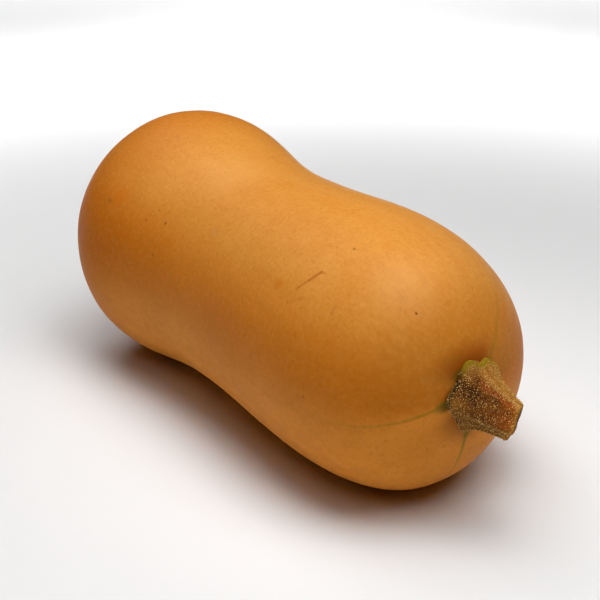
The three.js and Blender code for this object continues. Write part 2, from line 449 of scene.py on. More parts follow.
# Hairs in mm, longer and arched
HAIR_COUNT = 80
HAIR_SIDES = 4
HAIR_STEPS = 4
HAIR_START = 1
HAIR_LENGTHS = (0.8, 1.8)
HAIR_ROOT = 0.1
HAIR_REACH = 0.8
HAIR_ARCH = 0.6
HAIR_ARCH_TURN = 1.9
HAIR_RADIUS = 0.085
HAIR_NARROWING = 0.015


def blend(u, start_radius, start_bend, end_radius, end_bend):
    """Curve between two radii that is level at both ends and takes a set curvature there."""
    rise = u ** 3 * (10 - 15 * u + 6 * u * u)
    start_shape = 0.5 * u * u * (1 - u) ** 3
    end_shape = 0.5 * u ** 3 * (1 - u) ** 2
    bends = start_bend * start_shape + end_bend * end_shape
    return start_radius + (end_radius - start_radius) * rise + bends


def cap_radius(u, radius, fullness):
    """Rounded end: an ellipse made fuller or slimmer towards its tip."""
    return radius * np.sqrt(np.maximum(0, 1 - u * u)) * (1 + fullness * u * u)


def fruit_outline():
    """Places along the axis and the radius at each, from blossom end to stem end."""
    bulb_bend = BULB_RADIUS * (2 * BULB_FULLNESS - 1) / BULB_CAP_LENGTH ** 2
    shoulder_bend = SHOULDER_RADIUS * (2 * STEM_CAP_FULLNESS - 1) / STEM_CAP_LENGTH ** 2
    bulb_turn = np.linspace(0, 1, BULB_CAP_STEPS, endpoint=False) ** POLE_CROWDING
    bulb_cap = np.cos(bulb_turn * math.pi / 2)
    bulb_neck = np.linspace(0, 1, BULB_NECK_STEPS, endpoint=False)
    neck = np.linspace(0, 1, NECK_STEPS, endpoint=False)
    stem_cap = np.sin(np.linspace(0, math.pi / 2, STEM_CAP_STEPS))
    places = [
        BULB_CAP_LENGTH * (1 - bulb_cap),
        BULB_CAP_LENGTH + BULB_TO_WAIST * bulb_neck,
        BULB_CAP_LENGTH + BULB_TO_WAIST + WAIST_TO_SHOULDER * neck,
        SHOULDER_AT + STEM_CAP_LENGTH * stem_cap,
    ]
    bulb_bend *= BULB_TO_WAIST ** 2
    waist_bend_before = WAIST_CURVATURE * BULB_TO_WAIST ** 2
    waist_bend_after = WAIST_CURVATURE * WAIST_TO_SHOULDER ** 2
    shoulder_bend *= WAIST_TO_SHOULDER ** 2
    radii = [
        cap_radius(bulb_cap, BULB_RADIUS, BULB_FULLNESS),
        blend(bulb_neck, BULB_RADIUS, bulb_bend, WAIST_RADIUS, waist_bend_before),
        blend(neck, WAIST_RADIUS, waist_bend_after, SHOULDER_RADIUS, shoulder_bend),
        cap_radius(stem_cap, SHOULDER_RADIUS, STEM_CAP_FULLNESS),
    ]
    return np.concatenate(places), np.concatenate(radii)


def lay_fruit(along, y, z):
    """Bends the straight fruit, shifts the middle of its stem end and lays it on bulb and neck."""
    half = 2 * along / FRUIT_LENGTH - 1
    seat = np.clip((along - SHOULDER_AT) / STEM_CAP_LENGTH, 0, 1) ** SEAT_POWER
    bend = half * half - 1 / 3
    sway = half ** 3 - 0.6 * half
    x = along - FRUIT_LENGTH / 2 + 0 * y
    y = y + SIDE_BEND * bend + SIDE_SWAY * sway + SEAT_SIDE * seat
    z = z + RISE_BEND * bend + RISE_SWAY * sway + SEAT_RISE * seat
    cos, sin = math.cos(LYING_TILT), math.sin(LYING_TILT)
    return np.stack([x * cos + z * sin, y, z * cos - x * sin], axis=-1)


def frame_shift():
    """Vector in mm from the fruit's own middle to the shared frame."""
    along, radius = fruit_outline()
    around = np.radians(np.arange(0, 360, 2))
    rings = lay_fruit(along[:, None], radius[:, None] * np.sin(around), radius[:, None] * np.cos(around))
    points = rings.reshape(-1, 3)
    low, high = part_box("squash_fruit")
    left = low[0] / MM - points[:, 0].min()
    middle = (low[1] + high[1]) / 2 / MM - (points[:, 1].min() + points[:, 1].max()) / 2
    ground = low[2] / MM - points[:, 2].min() - GROUND_FLAT_DEPTH
    return np.array([left, middle, ground])


SHIFT = frame_shift()


def link(name, data):
    thing = bpy.data.objects.new(name, data)
    bpy.context.scene.collection.objects.link(thing)
    return thing


def new_object(name, points, faces, material):
    """Smooth mesh object from points in mm in the shared frame."""
    mesh = bpy.data.meshes.new(name)
    mesh.from_pydata((points * MM).tolist(), [], faces)
    mesh.update()
    mesh.polygons.foreach_set("use_smooth", [True] * len(mesh.polygons))
    mesh.materials.append(material)
    return link(name, mesh)


def corner_attribute(mesh, name, values):
    """Stores a vector for each face corner."""
    layer = mesh.attributes.new(name, "FLOAT_VECTOR", "CORNER")
    layer.data.foreach_set("vector", np.array(values, dtype=np.float32).ravel())


class Graph:
    """Short forms for building a material's nodes."""

    def __init__(self, name):
        self.material = bpy.data.materials.new(name)
        self.material.use_nodes = True
        self.tree = self.material.node_tree
        self.shader = self.tree.nodes["Principled BSDF"]

    def put(self, socket, value):
        if isinstance(value, bpy.types.NodeSocket):
            self.tree.links.new(value, socket)
        else:
            socket.default_value = value

    def add(self, kind, inputs=None, **settings):
        node = self.tree.nodes.new(kind)
        for key, value in settings.items():
            setattr(node, key, value)
        for key, value in (inputs or {}).items():
            self.put(node.inputs[key], value)
        return node

    def math(self, operation, a, b=0.0, c=0.0):
        return self.add("ShaderNodeMath", {0: a, 1: b, 2: c}, operation=operation).outputs[0]

    def vector(self, operation, a, b, result="Vector"):
        return self.add("ShaderNodeVectorMath", {0: a, 1: b}, operation=operation).outputs[result]

    def step(self, value, start, end):
        """Smooth rise from 0 at the start to 1 at the end, whichever is larger."""
        inputs = {"Value": value, "From Min": min(start, end), "From Max": max(start, end)}
        inputs.update({"To Min": float(start > end), "To Max": float(start < end)})
        return self.add("ShaderNodeMapRange", inputs, interpolation_type="SMOOTHSTEP").outputs["Result"]

    def scaled(self, value, scale, offset):
        """Value times scale, plus offset."""
        return self.math("MULTIPLY_ADD", value, scale, offset)

    def product(self, first, *others):
        for other in others:
            first = self.math("MULTIPLY", first, other)
        return first

    def between(self, value, rise, fall):
        """1 between two edges, each given by where it begins and where it is full."""
        return self.product(self.step(value, *rise), self.step(value, *fall))

    def sector(self, around, start, end, soft=SECTOR_SOFTNESS):
        """1 between two angles, with soft edges."""
        return self.between(around, (start - soft, start + soft), (end + soft, end - soft))

    def mix(self, factor, a, b):
        """Mixes two colours, each from another node or three display values."""
        node = self.add("ShaderNodeMix", data_type="RGBA", clamp_factor=True)
        self.put(node.inputs["Factor"], factor)
        for socket, colour in ((node.inputs[6], a), (node.inputs[7], b)):
            self.put(socket, srgb(*colour) if isinstance(colour, tuple) else colour)
        return node.outputs[2]

    def tint(self, colour, factor, strength, other):
        """Mixes in another colour by a factor times a strength."""
        return self.mix(self.product(factor, strength), colour, other)

    def noise(self, vector, scale, detail, rough):
        inputs = {"Vector": vector, "Scale": scale, "Detail": detail, "Roughness": rough}
        return self.add("ShaderNodeTexNoise", inputs).outputs["Fac"]

    def pattern(self, vector, scale, detail, rough, begin, full):
        """Noise made into patches: 0 up to one level, 1 from another."""
        return self.step(self.noise(vector, scale, detail, rough), begin, full)

    def grown(self, name):
        """The three numbers stored at each corner when the mesh was made."""
        node = self.add("ShaderNodeAttribute", attribute_name=name)
        split = self.add("ShaderNodeSeparateXYZ", {0: node.outputs["Vector"]})
        return tuple(split.outputs)

    def place(self):
        """Position on the object in mm."""
        node = self.add("ShaderNodeTexCoord")
        return self.vector("MULTIPLY", node.outputs["Object"], (1 / MM, 1 / MM, 1 / MM))

    def join(self, x, y):
        return self.add("ShaderNodeCombineXYZ", {0: x, 1: y}).outputs[0]

    def stretched(self, x, y, scales):
        """Place for noise that is drawn out one way."""
        return self.join(self.product(x, scales[0]), self.product(y, scales[1]))

    def bump(self, height, strength, distance):
        inputs = {"Height": height, "Strength": strength, "Distance": distance * MM}
        self.put(self.shader.inputs["Normal"], self.add("ShaderNodeBump", inputs).outputs[0])

    def surface(self, colour, roughness, specular=0.5):
        """Sets the shader's colour, roughness and gloss and hands back the material."""
        self.put(self.shader.inputs["Base Color"], colour)
        self.put(self.shader.inputs["Roughness"], roughness)
        self.shader.inputs["Specular IOR Level"].default_value = specular
        return self.material


def srgb(red, green, blue):
    """Linear colour from display values of 0 to 255."""
    def linear(value):
        value /= 255
        return value / 12.92 if value <= 0.04045 else ((value + 0.055) / 1.055) ** 2.4
    return (linear(red), linear(green), linear(blue), 1.0)


def vein_lines(g, along, around, radius, place):
    """Strength of the thin green lines that run from the stem over the end of the fruit."""
    to_mm = g.product(radius, math.pi / 180)
    wander = g.math("SUBTRACT", g.noise(place, *VEIN_WANDER_NOISE), 0.5)
    wander = g.product(wander, VEIN_WANDER)
    from_foot = g.math("SUBTRACT", along, VEIN_FOOT)
    hook = g.math("EXPONENT", g.math("DIVIDE", from_foot, VEIN_HOOK_LENGTH))
    stem_end = g.step(along, SHOULDER_AT, SHOULDER_AT + VEIN_END_SOFTNESS)
    near = g.step(radius, VEIN_NARROW_RADIUS, VEIN_ROOT_RADIUS)
    lines = 0.0
    for angle, turn, hook_angle, fade, narrow, strength in VEINS:
        half_width = g.scaled(near, VEIN_ROOT_WIDENING, narrow)
        middle = g.scaled(from_foot, turn, angle)
        middle = g.scaled(hook, hook_angle, middle)
        across = g.scaled(g.math("SUBTRACT", around, middle), to_mm, wander)
        share = g.math("DIVIDE", g.math("ABSOLUTE", across), half_width)
        reach = g.product(g.step(radius, fade, VEIN_ROOT_RADIUS), strength)
        lines = g.math("MAXIMUM", lines, g.product(g.step(share, *VEIN_EDGES), reach))
    return g.product(lines, stem_end)


def mm_per_degree(along):
    """Length of one degree round the fruit."""
    return float(np.interp(along, *fruit_outline())) * math.pi / 180


def round_mark(g, along, around, spot_along, spot_around, radius, edges):
    """1 inside a round mark on the skin, fading to 0 at its outer edge."""
    to_mm = mm_per_degree(spot_along)
    across = g.product(g.math("SUBTRACT", around, spot_around), to_mm)
    forth = g.math("SUBTRACT", along, spot_along)
    square = g.scaled(across, across, g.product(forth, forth))
    return g.step(g.math("SQRT", square), radius * edges[0], radius * edges[1])


def line_mark(g, along, around, start, end, half_width):
    """1 on a straight scratch between two places on the skin."""
    to_mm = mm_per_degree(start[0])
    run = Vector((end[0] - start[0], (end[1] - start[1]) * to_mm, 0))
    across = g.product(g.math("SUBTRACT", around, start[1]), to_mm)
    point = g.join(g.math("SUBTRACT", along, start[0]), across)
    share = g.math("DIVIDE", g.vector("DOT_PRODUCT", point, run, "Value"), run.length_squared)
    share = g.math("MINIMUM", g.math("MAXIMUM", share, 0.0), 1.0)
    nearest = g.join(g.product(share, run.x), g.product(share, run.y))
    outer, inner = SCRATCH_EDGES
    return g.step(g.vector("DISTANCE", point, nearest, "Value"), half_width * outer, half_width * inner)


def base_colour_with_painted_light(g, along, around, radius, place, grain):
    """Paler on top, deeper orange down the flanks and warm below, partly the skin's own colour and
    partly painted light, painted shade and painted bounce light; then painted shade on the far top, the
    bulb's end and flank and round the stem, with soft mottling and fine grain.
    """
    broad = g.pattern(place, *BROAD_PATTERN)
    off_tip = g.math("MAXIMUM", g.step(radius, *OFF_TIP_RADII), g.step(along, *OFF_TIP_PLACES))
    upright = g.product(g.math("COSINE", g.math("RADIANS", around)), off_tip)
    far_top_shade_mask = g.product(g.step(around, *FAR_TOP_ANGLES), g.step(along, *FAR_TOP_PLACES))
    flank = g.mix(broad, *FLANK_SHADES_WITH_PAINTED_SHADE)
    below = g.mix(broad, *BELOW_SHADES_WITH_PAINTED_BOUNCE)
    bulb_flank_shade_mask = g.product(g.step(along, *BULB_FLANK_PLACES), g.sector(around, *BULB_FLANK_SECTOR))
    round_stem_shade_mask = g.product(g.step(along, *ROUND_STEM_PLACES), g.sector(around, *ROUND_STEM_SECTOR))
    # Painted light on top, painted shade down the flanks and painted bounce light below, mixed with the
    # skin's own colour
    colour = g.mix(broad, *TOP_SHADES_WITH_PAINTED_LIGHT)
    # Painted shade on the far top of the neck
    colour = g.tint(colour, far_top_shade_mask, *FAR_TOP_PAINTED_SHADE)
    colour = g.tint(colour, g.step(upright, *FLANK_LIMITS), FLANK_STRENGTH, flank)
    colour = g.tint(colour, g.step(upright, *BELOW_LIMITS), BELOW_STRENGTH, below)
    # Painted shade at the bulb's end, on the bulb's flank and round the stem
    colour = g.tint(colour, g.step(along, *BULB_END_PLACES), *BULB_END_PAINTED_SHADE)
    colour = g.tint(colour, bulb_flank_shade_mask, *BULB_FLANK_PAINTED_SHADE)
    colour = g.tint(colour, round_stem_shade_mask, *ROUND_STEM_PAINTED_SHADE)
    colour = g.tint(colour, g.pattern(place, *MOTTLE_PATTERN), *MOTTLE_TINT)
    colour = g.tint(colour, g.pattern(place, *SPECKLE_PATTERN), *SPECKLE_TINT)
    colour = g.tint(colour, g.step(grain, *DARK_GRAIN_LIMITS), *DARK_GRAIN_TINT)
    return g.tint(colour, g.step(grain, *PALE_GRAIN_LIMITS), *PALE_GRAIN_TINT)


def add_stem_end(g, colour, along, around, radius):
    """Streaks along the body and down from the stem, then green and red tints round its foot and a brown
    collar with painted shade against it.
    """
    streaks = g.pattern(g.stretched(around, along, STREAK_SCALES), *STREAK_PATTERN)
    on_body = g.product(g.step(radius, *BODY_STREAK_RADII), g.sector(around, *BODY_STREAK_SECTOR))
    colour = g.tint(colour, g.product(streaks, on_body), *BODY_STREAK_TINT)
    above = g.sector(around, *ABOVE_SECTOR)
    near_stem = g.product(g.step(along, *STEM_STREAK_PLACES), above)
    colour = g.tint(colour, g.product(streaks, near_stem), *STEM_STREAK_TINT)
    ring = g.product(g.step(along, *RING_PLACES), g.step(radius, *RING_RADII), above)
    shades = g.noise(g.stretched(around, along, SHADE_SCALES), *SHADE_NOISE)
    colour = g.tint(colour, g.product(ring, g.step(shades, *GREEN_RING_LIMITS)), *GREEN_RING_TINT)
    colour = g.tint(colour, g.product(ring, g.step(shades, *RED_RING_LIMITS)), *RED_RING_TINT)
    # Painted shade round the stem's foot, mixed with a brown tint
    stem_end = g.step(along, *BROWN_COLLAR_AND_SHADE_PLACES)
    for start, end, outer, inner, strength, shade in BROWN_COLLAR_AND_SHADE:
        near_foot = g.product(g.step(radius, outer, inner), stem_end)
        collar_and_shade = g.product(near_foot, g.sector(around, start, end, BROWN_COLLAR_AND_SHADE_SOFTNESS))
        colour = g.tint(colour, collar_and_shade, strength, shade)
    return colour


def add_marks(g, colour, along, around):
    """Blotches, two of them painted highlights and one painted shade, scratches and freckles on the near
    side, dots on the far side and the paler belly.
    """
    # Soft blotches, two of them painted highlights and one painted shade
    for spot_along, spot_around, spot_radius, strength, shade in BLOTCHES_AND_PAINTED_LIGHT:
        spot = round_mark(g, along, around, spot_along, spot_around, spot_radius, BLOTCH_AND_PAINTED_LIGHT_EDGES)
        colour = g.tint(colour, spot, strength, shade)
    for start, end, half_width, strength in SCRATCHES:
        scratch = line_mark(g, along, around, start, end, half_width)
        colour = g.tint(colour, scratch, strength, SCRATCH_COLOUR)
    for spot_along, spot_around, spot_radius, strength in FRECKLES:
        spot = round_mark(g, along, around, spot_along, spot_around, spot_radius, FRECKLE_EDGES)
        colour = g.tint(colour, spot, strength, FRECKLE_COLOUR)
    inputs = {"Vector": g.stretched(along, around, FAR_DOT_SCALES), "Scale": FAR_DOT_DENSITY}
    cells = g.add("ShaderNodeTexVoronoi", inputs, voronoi_dimensions="2D")
    dots = g.step(cells.outputs["Distance"], *FAR_DOT_SHARES)
    far_side = g.math("MAXIMUM", *(g.step(around, *angles) for angles in FAR_DOT_ANGLES))
    colour = g.tint(colour, g.product(dots, far_side), *FAR_DOT_TINT)
    belly = g.product(g.between(around, *BELLY_ANGLES), g.between(along, *BELLY_PLACES))
    return g.tint(colour, belly, *BELLY_TINT)


def skin_material():
    g = Graph("squash_rind")
    along, around, radius = g.grown("grown")
    place = g.place()
    grain = g.noise(place, *GRAIN_NOISE)
    colour = base_colour_with_painted_light(g, along, around, radius, place, grain)
    colour = add_stem_end(g, colour, along, around, radius)
    colour = add_marks(g, colour, along, around)

    # Corky scar at the blossom end
    blossom = g.step(along, *SCAR_PLACES)
    ragged = g.scaled(grain, CORK_RAGGEDNESS, radius)
    cork = g.product(blossom, g.step(ragged, *SCAR_CORK_RADII))
    halo = g.product(blossom, g.step(radius, *SCAR_HALO_RADII))
    colour = g.tint(colour, halo, *SCAR_HALO_TINT)
    colour = g.tint(colour, cork, CORK_STRENGTH, g.mix(grain, *CORK_SHADES))

    # Veins, weaker where they are broken, and dark green flecks with painted crevice shade against the
    # stem's foot
    veins = vein_lines(g, along, around, radius, place)
    whole = g.pattern(place, *VEIN_BREAK_PATTERN)
    whole = g.scaled(whole, 1 - VEIN_BROKEN_STRENGTH, VEIN_BROKEN_STRENGTH)
    colour = g.tint(colour, g.product(veins, whole), *VEIN_TINT)
    against_foot = g.product(g.step(along, *SHADED_FOOT_FLECK_PLACES), g.step(radius, *SHADED_FOOT_FLECK_RADII))
    for start, end in SHADED_FOOT_FLECKS:
        shaded_fleck = g.product(against_foot, g.sector(around, start, end, SHADED_FOOT_FLECK_SOFTNESS))
        colour = g.tint(colour, shaded_fleck, *SHADED_FOOT_FLECK_TINT)

    g.bump(g.scaled(g.noise(place, *PIT_NOISE), PIT_SHARE, grain), *SKIN_BUMP)
    roughness = g.scaled(grain, GRAIN_ROUGHNESS, SKIN_ROUGHNESS)
    roughness = g.scaled(cork, CORK_ROUGHNESS, roughness)
    return g.surface(colour, roughness, SKIN_SPECULAR)


def furrows(along, around):
    """Depth in mm of the shallow furrows that run from the stem over the shoulder."""
    share = np.clip((along - FURROW_START) / (FURROW_FULL - FURROW_START), 0, 1)
    ramp = share * share * (3 - 2 * share)
    total = 0
    for angle, turn, *_ in VEINS:
        away = (around - angle - turn * (along - VEIN_FOOT) + 180) % 360 - 180
        total = total + np.exp(-(away / FURROW_WIDTH) ** 2)
    return FURROW_DEPTH * ramp * total


def lumps(along, y, z):
    """Gentle unevenness of a grown fruit, in mm."""
    height = np.zeros(np.broadcast(along, y, z).shape)
    places = np.stack(np.broadcast_arrays(along, y, z), axis=-1).reshape(-1, 3)
    for size, amount in LUMPS:
        swell = [noise.noise(Vector(place) / size) for place in places.tolist()]
        height += amount * np.array(swell).reshape(height.shape)
    return height


def blossom_scar(radius):
    """How far the skin moves into the fruit at the blossom end: a dimple with a nub in it."""
    dimple = SCAR_DIMPLE_DEPTH * np.exp(-(radius / SCAR_DIMPLE_RADIUS) ** 2)
    nub = SCAR_NUB_HEIGHT / (1 + (radius / SCAR_NUB_RADIUS) ** SCAR_NUB_SHARPNESS)
    return dimple - nub


def build_skin():
    along, radius = fruit_outline()
    around_deg = SEAM_ANGLE + 360 * np.arange(SKIN_SIDES) / SKIN_SIDES
    around = np.radians(around_deg)
    ring_along = along[1:-1, None]
    ring_radius = radius[1:-1, None]
    swell = lumps(ring_along, ring_radius * np.sin(around), ring_radius * np.cos(around))
    swollen = ring_radius + (swell - furrows(ring_along, around_deg)) * ring_radius / BULB_RADIUS
    rings = lay_fruit(ring_along, -swollen * np.sin(around), swollen * np.cos(around))
    in_bulb = ring_along < BULB_CAP_LENGTH / 2
    rings[..., 0] += np.where(in_bulb, blossom_scar(ring_radius), 0)
    rings = rings.reshape(-1, 3)
    poles = lay_fruit(along[[0, -1]], np.zeros(2), np.zeros(2))
    poles[0, 0] += blossom_scar(0)
    points = np.concatenate([rings, poles])
    points[:, 2] = np.maximum(points[:, 2], -SHIFT[2])

    ring_count = len(along) - 2
    start_pole = len(rings)
    end_pole = start_pole + 1
    faces = []
    grown = []

    def corner(ring, side):
        return (along[ring], SEAM_ANGLE + 360 * side / SKIN_SIDES, radius[ring])

    for side in range(SKIN_SIDES):
        following = (side + 1) % SKIN_SIDES
        faces.append((start_pole, following, side))
        grown += [corner(0, side + 0.5), corner(1, side + 1), corner(1, side)]
        for ring in range(ring_count - 1):
            low, high = ring * SKIN_SIDES, (ring + 1) * SKIN_SIDES
            faces.append((low + side, low + following, high + following, high + side))
            grown += [corner(ring + 1, side), corner(ring + 1, side + 1)]
            grown += [corner(ring + 2, side + 1), corner(ring + 2, side)]
        last = (ring_count - 1) * SKIN_SIDES
        faces.append((last + side, last + following, end_pole))
        grown += [corner(ring_count, side), corner(ring_count, side + 1)]
        grown.append(corner(ring_count + 1, side + 0.5))
    skin = new_object("squash_skin", points + SHIFT, faces, skin_material())
    corner_attribute(skin.data, "grown", grown)
    return skin


def axis_point(along):
    return Vector(lay_fruit(np.array(along), np.array(0.0), np.array(0.0)))


STEM_SEAT = axis_point(FRUIT_LENGTH)


def rounded_polygon(around, sides):
    """Distance from the middle to a polygon with rounded corners."""
    total = 0
    for angle, distance in sides:
        facing = max(0.0, math.cos(around - math.radians(angle)))
        total += (facing / distance) ** CORNER_SHARPNESS
    return total ** (-1 / CORNER_SHARPNESS)


def bell(around, angle, width):
    """1 at an angle, falling off to either side; angle and width in degrees."""
    away = (math.degrees(around) - angle + 180) % 360 - 180
    return math.exp(-(away / width) ** 2)


def foot_radius(around):
    lobes = sum(height * bell(around, angle, FOOT_LOBE_WIDTH) for angle, height in FOOT_LOBES)
    return rounded_polygon(around, FOOT_SIDES) + lobes


def stem_point(along, around, radius):
    """Point on the stem, cut aslant at its tip; the angle counts from its top towards the near side."""
    t = max(0.0, along / STEM_LENGTH)
    centre = 2 * t * (1 - t) * STEM_BEND_POINT + t * t * STEM_TIP_POINT
    forward = ((1 - 2 * t) * STEM_BEND_POINT + t * STEM_TIP_POINT).normalized()
    side = forward.cross(Vector((0, 0, 1))).normalized()
    up = side.cross(forward)
    outward = radius * (math.cos(around) * up + math.sin(around) * side)
    slant = -STEM_CUT_DIRECTION.dot(outward) / STEM_CUT_DIRECTION.dot(forward)
    swell = bell(around, STEM_CUT_BULGE_ANGLE, STEM_CUT_BULGE_WIDTH) - STEM_CUT_BULGE_LOSS
    slant += STEM_CUT_BULGE * swell * radius / TIP_FACETS[0][1]
    return STEM_SEAT + centre + outward + (min(0.0, along) + slant * t ** STEM_CUT_POWER) * forward


def skin_line():
    """Places along the stem, for each degree round it, where its foot meets the skin."""
    outline_along, outline_radius = fruit_outline()
    cap_along = outline_along[-STEM_CAP_STEPS:][::-1]
    cap_radii = outline_radius[-STEM_CAP_STEPS:][::-1]
    cos, sin = math.cos(LYING_TILT), math.sin(LYING_TILT)
    line = []
    for degree in range(360):
        around = math.radians(degree)
        low, high = SKIN_SEARCH
        while high - low > SKIN_SEARCH_STEP:
            middle = (low + high) / 2
            point = stem_point(middle, around, foot_radius(around))
            along = point.x * cos - point.z * sin + FRUIT_LENGTH / 2
            surface = np.interp((point - axis_point(along)).length, cap_radii, cap_along)
            low, high = (middle, high) if along < surface else (low, middle)
        line.append(high)
    return np.array(line)


SKIN_LINE = skin_line()


def skin_place(around):
    return float(np.interp(math.degrees(around), np.arange(360), SKIN_LINE, period=360))


def stem_radius(along, around):
    """Distance of the stem's side from its centre line."""
    share = min(1.0, max(0.0, along / STEM_LENGTH))
    root = rounded_polygon(around, ROOT_FACETS)
    body = root + (rounded_polygon(around, TIP_FACETS) - root) * share
    height = along - skin_place(around)
    spread = math.exp(-max(0.0, height - FOOT_HEIGHT) / FOOT_NARROWING)
    foot = (foot_radius(around) - root) * spread
    curl = FOOT_CURL * (1 - min(1.0, max(0.0, height / FOOT_HEIGHT))) ** 2
    hollows = sum(bell(around, facet, FACET_HOLLOW_WIDTH) for facet, _ in ROOT_FACETS)
    hollow = FACET_HOLLOW * (1 - spread) * hollows
    twist = FIBRE_TWIST * along
    fibre = sum(size * math.sin(count * around + phase + twist) for count, size, phase in FIBRES)
    fibre *= 1 - FIBRE_TIP_LOSS * share ** FIBRE_LOSS_POWER
    lip = LIP_HEIGHT * math.exp((along - STEM_LENGTH) / LIP_LENGTH)
    return body + foot - curl - hollow + fibre + lip


def stem_material():
    g = Graph("stem_rind")
    height, around, past_cut = g.grown("grown")
    ridge = g.grown("ridge")[0]
    place = g.place()
    fibres = g.pattern(g.stretched(around, past_cut, FIBRE_SCALES), *FIBRE_PATTERN)
    fibre_waves = g.math("SUBTRACT", fibres, 0.5)
    blotch = g.pattern(place, *BLOTCH_PATTERN)
    red_blotch = g.pattern(place, *RED_BLOTCH_PATTERN)
    grit = g.noise(place, *GRIT_NOISE)

    # Dark brown facets, red-brown near the tip, golden low down and darkest in the middle, partly
    # painted shade
    colour = g.mix(blotch, *STEM_SHADES)
    colour = g.tint(colour, g.step(past_cut, *TIP_PLACES), TIP_STRENGTH, g.mix(blotch, *TIP_SHADES))
    golden = g.product(g.sector(around, *GOLDEN_SECTOR), g.step(height, *GOLDEN_HEIGHTS))
    colour = g.tint(colour, golden, *GOLDEN_TINT)
    middle = g.product(g.step(height, *DARK_HEIGHTS), g.step(past_cut, *DARK_PLACES))
    unblotched = g.scaled(blotch, -DARK_BLOTCH_LOSS, 1.0)
    colour = g.tint(colour, g.product(middle, g.sector(around, *DARK_SECTOR), unblotched), *DARK_AND_PAINTED_SHADE_TINT)

    # Beige on top and on the shoulder, partly painted light, grey-brown below, partly painted shade,
    # dark grit all over
    upper = g.math("MAXIMUM", g.sector(around, *UPPER_SECTOR), g.step(around, *UPPER_END_ANGLES))
    colour = g.mix(upper, colour, g.mix(fibres, *UPPER_SHADES_WITH_PAINTED_LIGHT))
    shoulder = g.product(g.sector(around, *SHOULDER_SECTOR), g.step(height, *SHOULDER_HEIGHTS))
    colour = g.tint(colour, shoulder, *SHOULDER_BEIGE_AND_PAINTED_LIGHT_TINT)
    colour = g.mix(g.sector(around, *LOWER_SECTOR), colour, g.mix(fibres, *LOWER_SHADES_WITH_PAINTED_SHADE))
    colour = g.tint(colour, g.step(grit, *GRIT_LIMITS), *GRIT_TINT)

    # Red upper ridge, yellow-green lobes, painted shade in the crevice under the foot and a yellow-tan
    # rim at the cut
    red = g.product(g.step(ridge, *RED_RIDGE_LIMITS), g.step(height, *RED_RIDGE_HEIGHTS))
    patchy = g.scaled(red_blotch, RED_BLOTCH_SHARE, 1 - RED_BLOTCH_SHARE)
    colour = g.tint(colour, g.product(red, g.sector(around, *RED_RIDGE_SECTOR), patchy), *RED_RIDGE_TINT)
    wavy_height = g.scaled(fibre_waves, FOOT_WAVES, height)
    green = g.math("MAXIMUM", upper, g.sector(around, *LOBE_SECTOR))
    colour = g.tint(colour, g.product(g.step(wavy_height, *LOBE_HEIGHTS), green), *LOBE_TINT)
    # Painted shade in the crevice under the stem's foot
    crevice_shade = 0.0
    for start, end, strength in CREVICE_SHADE_SECTORS:
        crevice_shade = g.scaled(g.sector(around, start, end), strength, crevice_shade)
    colour = g.mix(g.product(g.step(wavy_height, *CREVICE_SHADE_HEIGHTS), crevice_shade), colour, CREVICE_SHADE_COLOUR)
    rim_edge = g.scaled(fibre_waves, RIM_WAVES, past_cut)
    colour = g.tint(colour, g.step(rim_edge, *RIM_PLACES), RIM_STRENGTH, g.mix(fibres, *RIM_SHADES))

    # Dry cut face with rays and darker pith
    rays = g.pattern(g.stretched(around, past_cut, RAY_SCALES), *RAY_PATTERN)
    dry = g.tint(g.mix(rays, *CUT_SHADES), g.step(past_cut, *PITH_PLACES), *PITH_TINT)
    colour = g.mix(g.step(past_cut, *CUT_PLACES), colour, dry)

    g.bump(g.scaled(fibres, FIBRE_BUMP_SHARE, grit), *STEM_BUMP)
    return g.surface(colour, STEM_ROUGHNESS, STEM_SPECULAR)


def cut_depth(share, radius):
    """How far the cut face lies below its rim, from the rim (share 0) to the middle (share 1)."""
    dome = CUT_DOME * (1 - (1 - share) ** 2)
    pith = PITH_DEPTH / (1 + (radius / PITH_RADIUS) ** PITH_SHARPNESS)
    return pith - dome


